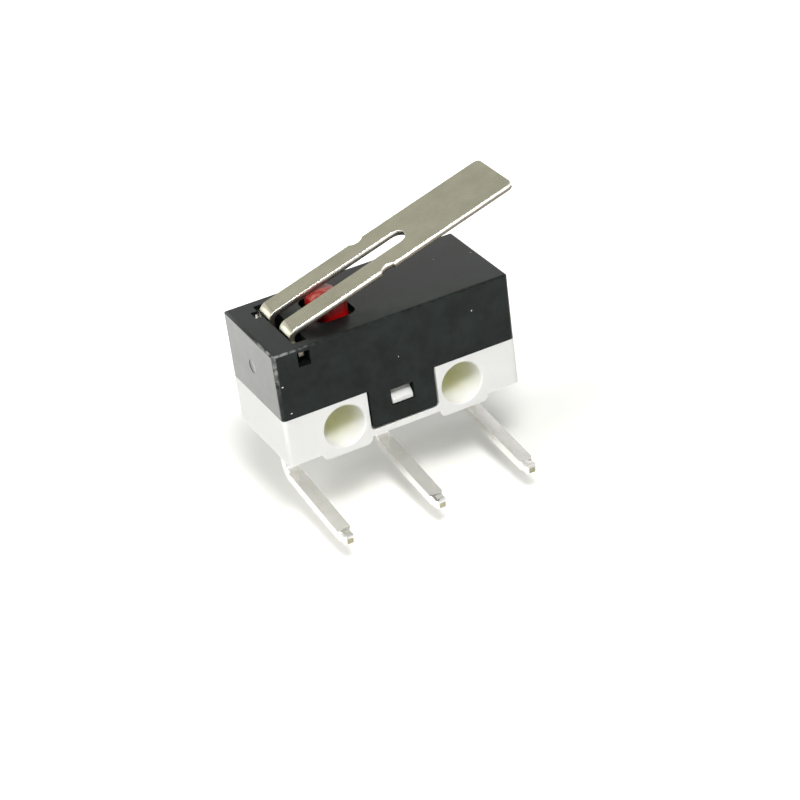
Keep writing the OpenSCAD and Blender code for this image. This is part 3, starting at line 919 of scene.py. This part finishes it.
def light_tent(strength):
    """A white tent that greys higher up, as a room above a photo table does."""
    world = bpy.data.worlds.new("Light tent")
    world.use_nodes = True
    tree = world.node_tree
    tree.nodes.clear()
    direction = add_node(tree, "ShaderNodeTexCoord").outputs["Generated"]
    axes = add_node(tree, "ShaderNodeSeparateXYZ", {0: direction}).outputs
    walls = add_node(tree, "ShaderNodeValToRGB", {"Fac": axes["Z"]})
    ramp = walls.color_ramp
    lowest, *between, highest = TENT_TONES
    for element, (position, code) in zip(ramp.elements, (lowest, highest)):
        element.position = position
        element.color = linear(code)
    for position, code in between:
        ramp.elements.new(position).color = linear(code)
    # A pale wall on the right, which the pins' upper faces mirror
    right = add_node(tree, "ShaderNodeMapRange", {"Value": axes["X"], "From Min": 0.12, "From Max": 0.36})
    walls = add_node(
        tree, "ShaderNodeMix",
        {"Factor": right.outputs[0], "A": walls.outputs["Color"], "B": linear(TENT_RIGHT)},
        data_type="RGBA", blend_type="LIGHTEN",
    )
    path = add_node(tree, "ShaderNodeLightPath").outputs
    seen = add_node(
        tree, "ShaderNodeMath", {0: path["Is Camera Ray"], 1: path["Is Glossy Ray"]}, operation="MAXIMUM"
    )
    seen = add_node(
        tree, "ShaderNodeMath", {0: seen.outputs[0], 1: path["Is Transmission Ray"]}, operation="MAXIMUM"
    )
    cloth = add_node(tree, "ShaderNodeBackground", {"Color": linear(TENT_LIGHT), "Strength": strength})
    view = add_node(tree, "ShaderNodeBackground", {"Color": walls.outputs["Result"], "Strength": 1.0})
    mix = add_node(
        tree, "ShaderNodeMixShader", {0: seen.outputs[0], 1: cloth.outputs[0], 2: view.outputs[0]}
    )
    add_node(tree, "ShaderNodeOutputWorld", {"Surface": mix.outputs[0]})
    bpy.context.scene.world = world


def softbox(name, place, aim, size, power):
    """A square softbox that faces a point."""
    lamp = bpy.data.lights.new(name, "AREA")
    lamp.shape = "SQUARE"
    lamp.size = size
    lamp.energy = power
    box = bpy.data.objects.new(name, lamp)
    box.location = place
    box.rotation_mode = "QUATERNION"
    box.rotation_quaternion = (aim - place).to_track_quat("-Z", "Y")
    # It lights the switch and shows in the metal, but never in the picture itself
    box.visible_camera = False
    bpy.context.scene.collection.objects.link(box)


def photo_camera(lens):
    """The camera where the photograph was taken, turned a little about its own axis."""
    data = bpy.data.cameras.new("Photo camera")
    data.sensor_width = 36
    data.lens = lens
    data.clip_start = 1 * MM
    data.clip_end = 10
    camera = bpy.data.objects.new("Photo camera", data)
    level = CAMERA_AHEAD.to_track_quat("-Z", "Y")
    level_right = level @ Vector((1, 0, 0))
    roll = level_right.cross(CAMERA_RIGHT).dot(CAMERA_AHEAD)
    camera.rotation_mode = "QUATERNION"
    camera.rotation_quaternion = Quaternion(CAMERA_AHEAD, math.asin(roll)) @ level
    camera.location = CAMERA_PLACE
    bpy.context.scene.collection.objects.link(camera)
    bpy.context.scene.camera = camera


class SWITCH_OT_stage(bpy.types.Operator):
    """Set up the table, the light and the camera"""

    bl_idname = "switch.stage"
    bl_label = "Table, light and camera"

    def execute(self, context):
        scene = context.scene
        settings = scene.switch_stage
        scene.view_settings.view_transform = "Standard"
        table_top(scene.switch_colours, PIN_LOW.z - settings.table_gap)
        light_tent(settings.ambient)
        middle = (CAD_LOW + CAD_HIGH) / 2
        # The low one at the back puts the white light on the lever's bends
        for name, direction, size, power in (
            ("Front softbox", (-0.15, -0.6, 0.785), 32 * MM, settings.key_power),
            ("Left softbox", (-0.7, -0.1, 0.7), 80 * MM, settings.fill_power),
            ("Overhead softbox", (-0.17, -0.52, 0.84), 40 * MM, settings.top_power),
            ("Back softbox", (-0.6, 0.79, 0.2), 50 * MM, settings.rim_power),
        ):
            softbox(name, middle + Vector(direction) * LAMP_DISTANCE, middle, size, power)
        photo_camera(settings.lens)
        return {"FINISHED"}


STEPS = (
    SWITCH_OT_base,
    SWITCH_OT_cover,
    SWITCH_OT_plunger,
    SWITCH_OT_lever,
    SWITCH_OT_terminals,
    SWITCH_OT_contacts,
    SWITCH_OT_dust,
    SWITCH_OT_stage,
)
SETTINGS = {
    "switch_colours": SwitchColours,
    "switch_edges": SwitchEdges,
    "switch_dust": SwitchDust,
    "switch_stage": SwitchStage,
}


class SWITCH_PT_build(bpy.types.Panel):
    """Build steps and settings of the switch"""

    bl_idname = "SWITCH_PT_build"
    bl_label = "Lever micro switch"
    bl_space_type = "VIEW_3D"
    bl_region_type = "UI"
    bl_category = "Switch"

    def draw(self, context):
        for step in STEPS:
            self.layout.operator(step.bl_idname)
        for name, group in SETTINGS.items():
            column = self.layout.column(heading=group.__doc__)
            for setting in group.__annotations__:
                column.prop(getattr(context.scene, name), setting)


def register():
    """Adds the classes and hangs the settings on the scene."""
    for cls in (*SETTINGS.values(), *STEPS, SWITCH_PT_build):
        bpy.utils.register_class(cls)
    for name, group in SETTINGS.items():
        setattr(bpy.types.Scene, name, PointerProperty(type=group))


def unregister():
    """Takes the settings and classes away again."""
    for name in SETTINGS:
        delattr(bpy.types.Scene, name)
    for cls in (SWITCH_PT_build, *reversed(STEPS), *reversed(tuple(SETTINGS.values()))):
        bpy.utils.unregister_class(cls)


def main():
    """Registers the add-on, builds every piece in order and notes the two boxes."""
    register()
    for step in STEPS:
        group, name = step.bl_idname.split(".")
        getattr(getattr(bpy.ops, group), name)()


if __name__ == "__main__":
    main()
